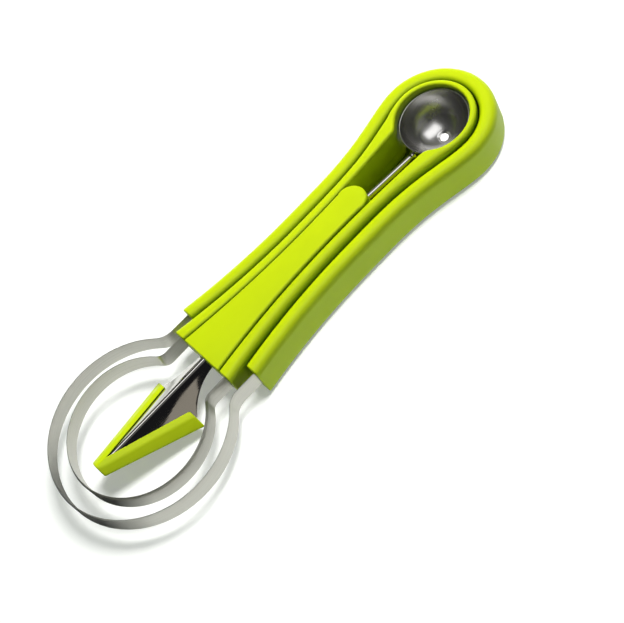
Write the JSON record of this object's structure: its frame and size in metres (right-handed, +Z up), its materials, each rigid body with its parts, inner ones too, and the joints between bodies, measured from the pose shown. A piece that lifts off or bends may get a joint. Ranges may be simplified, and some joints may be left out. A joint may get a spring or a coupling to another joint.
{
  "type": "fruit scoop",
  "caption": "Nested fruit tool set: loop scoops in hairpin handles, with a carver that ends in a guarded V blade and a melon baller.",
  "frame": {"origin": "middle of the set's outline on the plane of its back, on which it lies", "axes": "+X across, +Y from the loops towards the head, +Z up through the front face"},
  "size_m": [0.077, 0.2302, 0.019],
  "materials": {
    "handle_plastic": "satin moulded polypropylene, lime green",
    "guard_plastic": "satin moulded polypropylene, lime green",
    "loop_steel": "satin rolled stainless strip",
    "blade_steel": "polished stainless sheet",
    "bowl_steel": "polished stainless steel"
  },
  "bodies": {
    "large_scoop": {"large_handle": "handle_plastic", "large_loop": "loop_steel"},
    "small_scoop": {"small_handle": "handle_plastic", "small_loop": "loop_steel"},
    "carver": {"core_grip": "handle_plastic", "carving_blade": "blade_steel", "baller_stem": "bowl_steel", "baller_bowl": "bowl_steel"},
    "guard": {"blade_guard": "guard_plastic"}
  },
  "joints": [
    {"name": "small_scoop_lift", "type": "slide", "parent": "large_scoop", "child": "small_scoop", "axis": [0, 0, 1], "range_m": [0, 0.03]},
    {"name": "carver_lift", "type": "slide", "parent": "small_scoop", "child": "carver", "axis": [0, 0, 1], "range_m": [0, 0.03]},
    {"name": "guard_slide", "type": "slide", "parent": "carver", "child": "guard", "axis": [0, -1, 0], "range_m": [0, 0.0058]}
  ]
}
